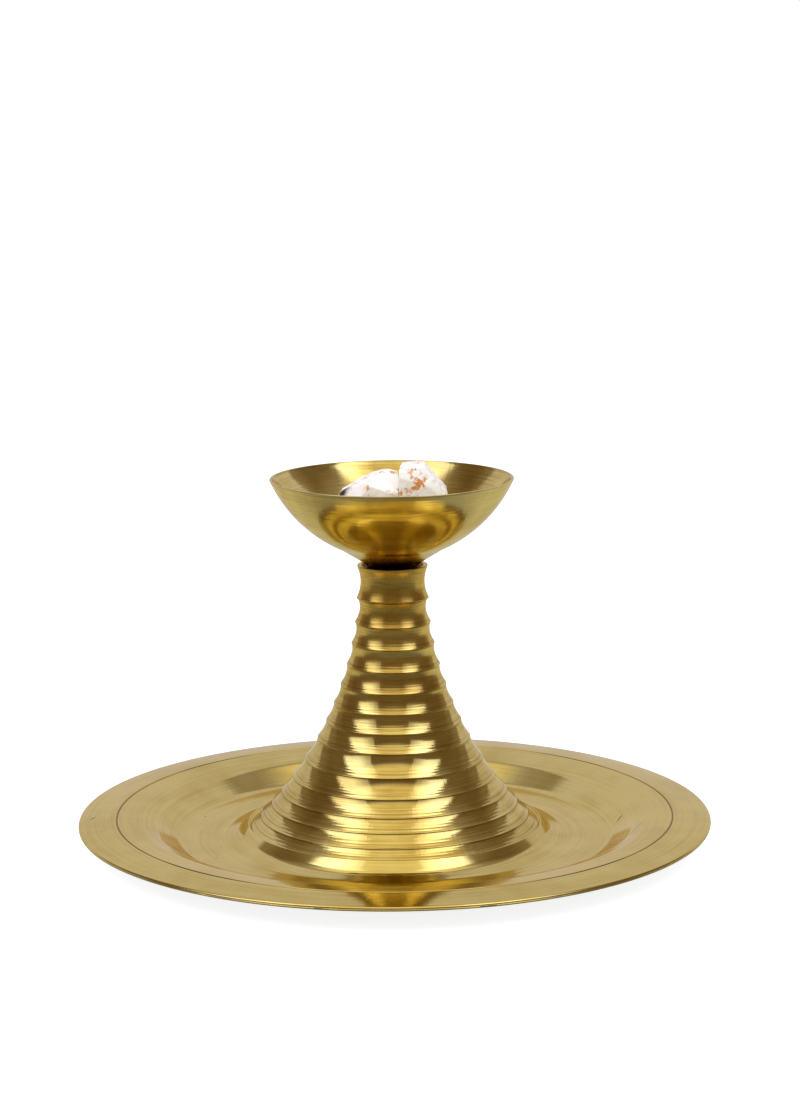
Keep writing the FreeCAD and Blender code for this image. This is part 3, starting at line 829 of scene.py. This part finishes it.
camphor = broken_camphor("broken camphor")
for node, name, seed, slopes in (
        ("camphor_left", "camphor_lump_left", 4, (((-11.8, 85.2), (-2.0, 89.9)),)),
        ("camphor_right", "camphor_lump_right", 9, (((7.9, 91.1), (13.5, 84.4)),))):
    lump = camphor_block(node, name, seed, slopes)
    lump.data.materials.clear()
    lump.data.materials.append(camphor)
    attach(lump, "bowl")
    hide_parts(node)

# Studio: a pale floor and backdrop that read white, a large softbox high at each side, and a dim
# room in front and at the sides, which the metal shows as dark bands between the lights.
backdrop_level = 0.87
ceiling_level = 1.10
room_level = 0.2
front_level = 0.21
plain_level = 0.95
front_band = (0.12, 0.30)
room_rises = (("Z", 0.66, 0.80, 0.18), ("Y", 0.30, 0.50, 0.12))
ceiling_lean = -0.25
ceiling_band = (0.80, 0.93)
least_depth = 0.01
backdrop_side = (1.10, 1.30)
backdrop_top = (1.20, 1.40)
room_tint, backdrop_tint, ceiling_tint = "FFD699", "E6E3FF", "FFF3D8"
tint_band = (0.1, 0.6)
white = (1, 1, 1, 1)


def studio_world():
    """The room as the metal sees it, plain white to the camera and even to dull surfaces."""
    world = bpy.data.worlds.new("studio")
    bpy.context.scene.world = world
    world.use_nodes = True
    tree = world.node_tree
    tree.nodes.clear()
    way = add(tree, "ShaderNodeSeparateXYZ", add(tree, "ShaderNodeTexCoord").outputs["Generated"])
    side = add(tree, "ShaderNodeMath", way.outputs["X"], operation="ABSOLUTE")
    room = add(tree, "ShaderNodeMapRange", side, *front_band, front_level, room_level)
    for axis, low, high, rise in room_rises:
        paler = add(tree, "ShaderNodeMapRange", way.outputs[axis], low, high, 0.0, rise)
        room = add(tree, "ShaderNodeMath", room, paler)
    # The lit ceiling hangs over the camera's side: it ends just behind the lamp
    ceiling = add(tree, "ShaderNodeMath", way.outputs["Y"], 0.0, operation="MINIMUM")
    ceiling = add(tree, "ShaderNodeMath", ceiling, ceiling_lean, way.outputs["Z"],
                  operation="MULTIPLY_ADD")
    ceiling = add(tree, "ShaderNodeMapRange", ceiling, *ceiling_band,
                  interpolation_type="SMOOTHSTEP")
    room = add(tree, "ShaderNodeMix", ceiling, room, ceiling_level, data_type="FLOAT")
    # The backdrop is a rectangle behind the lamp, as wide and as high as its distance allows
    depth = add(tree, "ShaderNodeMath", way.outputs["Y"], least_depth, operation="MAXIMUM")
    spread = []
    for reach, band in ((side, backdrop_side), (way.outputs["Z"], backdrop_top)):
        reach = add(tree, "ShaderNodeMath", reach, depth, operation="DIVIDE")
        spread.append(add(tree, "ShaderNodeMapRange", reach, *band, 1.0, 0.0,
                          interpolation_type="SMOOTHSTEP"))
    drop = add(tree, "ShaderNodeMath", *spread, operation="MULTIPLY")
    level = add(tree, "ShaderNodeMix", drop, room, backdrop_level, data_type="FLOAT")
    ray = add(tree, "ShaderNodeLightPath")
    on_dull = ray.outputs["Is Diffuse Ray"]
    level = add(tree, "ShaderNodeMix", on_dull, level, plain_level, data_type="FLOAT")
    tint = add(tree, "ShaderNodeMapRange", level, *tint_band)
    tint = add(tree, "ShaderNodeMix", tint, hex_colour(room_tint), hex_colour(backdrop_tint),
               data_type="RGBA")
    tint = add(tree, "ShaderNodeMix", ceiling, tint.outputs["Result"],
               hex_colour(ceiling_tint), data_type="RGBA")
    tint = add(tree, "ShaderNodeMix", on_dull, tint.outputs["Result"], white, data_type="RGBA")
    seen = add(tree, "ShaderNodeMath", ray.outputs["Is Camera Ray"],
               ray.outputs["Is Transmission Ray"], operation="MAXIMUM")
    level = add(tree, "ShaderNodeMix", seen, level, 1.0, data_type="FLOAT")
    tint = add(tree, "ShaderNodeMix", seen, tint.outputs["Result"], white, data_type="RGBA")
    light = add(tree, "ShaderNodeBackground", tint.outputs["Result"], level)
    add(tree, "ShaderNodeOutputWorld", light)


studio_world()

# The floor is matt white paper, 12 m square. To the camera it glows white, a little less under
# the lamp, where its shadow shows. In the metal it is darker in front than behind.
floor_reach = 6
paper_shade = 0.45
glow_band = (0.16, 0.5)
glow_levels = (0.86, 1.0)
mirrored_band = (-0.10, 0.06)
mirrored_shades = (0.20, 0.62)
floor_mesh = bpy.data.meshes.new("floor")
floor_mesh.from_pydata([(x * floor_reach, y * floor_reach, 0)
                        for x, y in ((-1, -1), (1, -1), (1, 1), (-1, 1))], [], [(0, 1, 2, 3)])
floor = bpy.data.objects.new("floor", floor_mesh)
bpy.context.collection.objects.link(floor)
paper = bpy.data.materials.new("matt white paper")
paper.use_nodes = True
tree = paper.node_tree
tree.nodes.clear()
spot = add(tree, "ShaderNodeTexCoord").outputs["Object"]
axes = add(tree, "ShaderNodeSeparateXYZ", spot)
distance = add(tree, "ShaderNodeVectorMath", spot, operation="LENGTH")
away = add(tree, "ShaderNodeMapRange", distance, *glow_band, interpolation_type="SMOOTHSTEP")
lift = add(tree, "ShaderNodeMix", away, *glow_levels, data_type="FLOAT")
front = add(tree, "ShaderNodeMapRange", axes.outputs["Y"], *mirrored_band, *mirrored_shades)
ray = add(tree, "ShaderNodeLightPath")
seen = add(tree, "ShaderNodeMath", ray.outputs["Is Camera Ray"],
           ray.outputs["Is Transmission Ray"], operation="MAXIMUM")
glow_level = add(tree, "ShaderNodeMath", lift, seen, operation="MULTIPLY")
shade = add(tree, "ShaderNodeMix", ray.outputs["Is Glossy Ray"], paper_shade, front,
            data_type="FLOAT")
matt = add(tree, "ShaderNodeBsdfDiffuse", shade.outputs["Result"])
own = add(tree, "ShaderNodeEmission", white, glow_level)
paper_shader = add(tree, "ShaderNodeAddShader", matt, own)
add(tree, "ShaderNodeOutputMaterial", paper_shader)
floor.data.materials.append(paper)

# Softboxes: two upright rectangles of white cloth lit from behind, half a metre off. Each has a
# soft outer edge and fades towards the camera's side, at the bottom and at the top.
softbox_distance = 0.5
softbox_half_angle = 24
softbox_base = 0.04
softbox_tint = "D9E0FF"
outer_edge_fade = (0.0, 0.2)
inwards_fade = (0.45, 1.0, 1.0, 0.3)
foot_fade = (0.0, 0.15, 0.6, 1.0)
head_fade = (0.3, 0.9, 1.0, 0.55)


def softbox(name, heading, low, high, level):
    """An upright softbox, brightest a quarter of the way up and near its outer side.

    heading is degrees to the right of the camera's side, low and high are where it ends."""
    width = 2 * softbox_distance * math.tan(math.radians(softbox_half_angle))
    bottom, top = [softbox_distance * math.tan(math.radians(angle)) for angle in (low, high)]
    light = bpy.data.lights.new(name, "AREA")
    light.shape = "RECTANGLE"
    light.size, light.size_y = width, top - bottom
    light.energy = level * math.pi * width * (top - bottom)
    light.color = hex_colour(softbox_tint)[:3]
    light.use_nodes = True
    tree = light.node_tree
    spot = add(tree, "ShaderNodeNewGeometry").outputs["Parametric"]
    spot = add(tree, "ShaderNodeSeparateXYZ", spot)
    inwards = spot.outputs["X"]
    if heading > 0:
        inwards = add(tree, "ShaderNodeMath", 1.0, inwards, operation="SUBTRACT")
    across = add(tree, "ShaderNodeMapRange", inwards, *inwards_fade,
                 interpolation_type="SMOOTHSTEP")
    edge = add(tree, "ShaderNodeMapRange", inwards, *outer_edge_fade,
               interpolation_type="SMOOTHSTEP")
    foot = add(tree, "ShaderNodeMapRange", spot.outputs["Y"], *foot_fade)
    head = add(tree, "ShaderNodeMapRange", spot.outputs["Y"], *head_fade,
               interpolation_type="SMOOTHSTEP")
    strength = across
    for fade in (edge, foot, head):
        strength = add(tree, "ShaderNodeMath", strength, fade, operation="MULTIPLY")
    tree.links.new(strength.outputs["Value"], tree.nodes["Emission"].inputs["Strength"])
    lamp = bpy.data.objects.new(name, light)
    bpy.context.collection.objects.link(lamp)
    side = math.radians(heading)
    way = Vector((math.sin(side), -math.cos(side), 0))
    lamp.location = way * softbox_distance + Vector((0, 0, softbox_base + (bottom + top) / 2))
    lamp.rotation_euler = way.to_track_quat("Z", "Y").to_euler()
    lamp.visible_camera = False


softbox("softbox left", -60, 20, 70, 2.4)
softbox("softbox right", 54, 30, 74, 2.6)

# Camera: level with a seated person's eyes, 0.67 m away, looking a little down at the lamp. Its
# lens, pitch, roll and shift were fitted to the rims of the tray and the bowl.
camera_place = (0, -0.6650, 0.1902)
camera_pitch = 0.1772
camera_roll = 0.0088
camera_lens = 93.39
camera_sensor = 36
camera_shift = 0.00705
camera = bpy.data.objects.new("camera", bpy.data.cameras.new("camera"))
bpy.context.collection.objects.link(camera)
camera.data.sensor_width = camera_sensor
camera.data.lens = camera_lens
camera.data.shift_x = camera_shift
camera.location = camera_place
sight = Vector((0, math.cos(camera_pitch), -math.sin(camera_pitch)))
camera.rotation_mode = "QUATERNION"
camera.rotation_quaternion = (sight.to_track_quat("-Z", "Y")
                              @ Quaternion((0, 0, 1), -camera_roll))
bpy.context.scene.camera = camera
bpy.context.scene.view_settings.view_transform = "Standard"
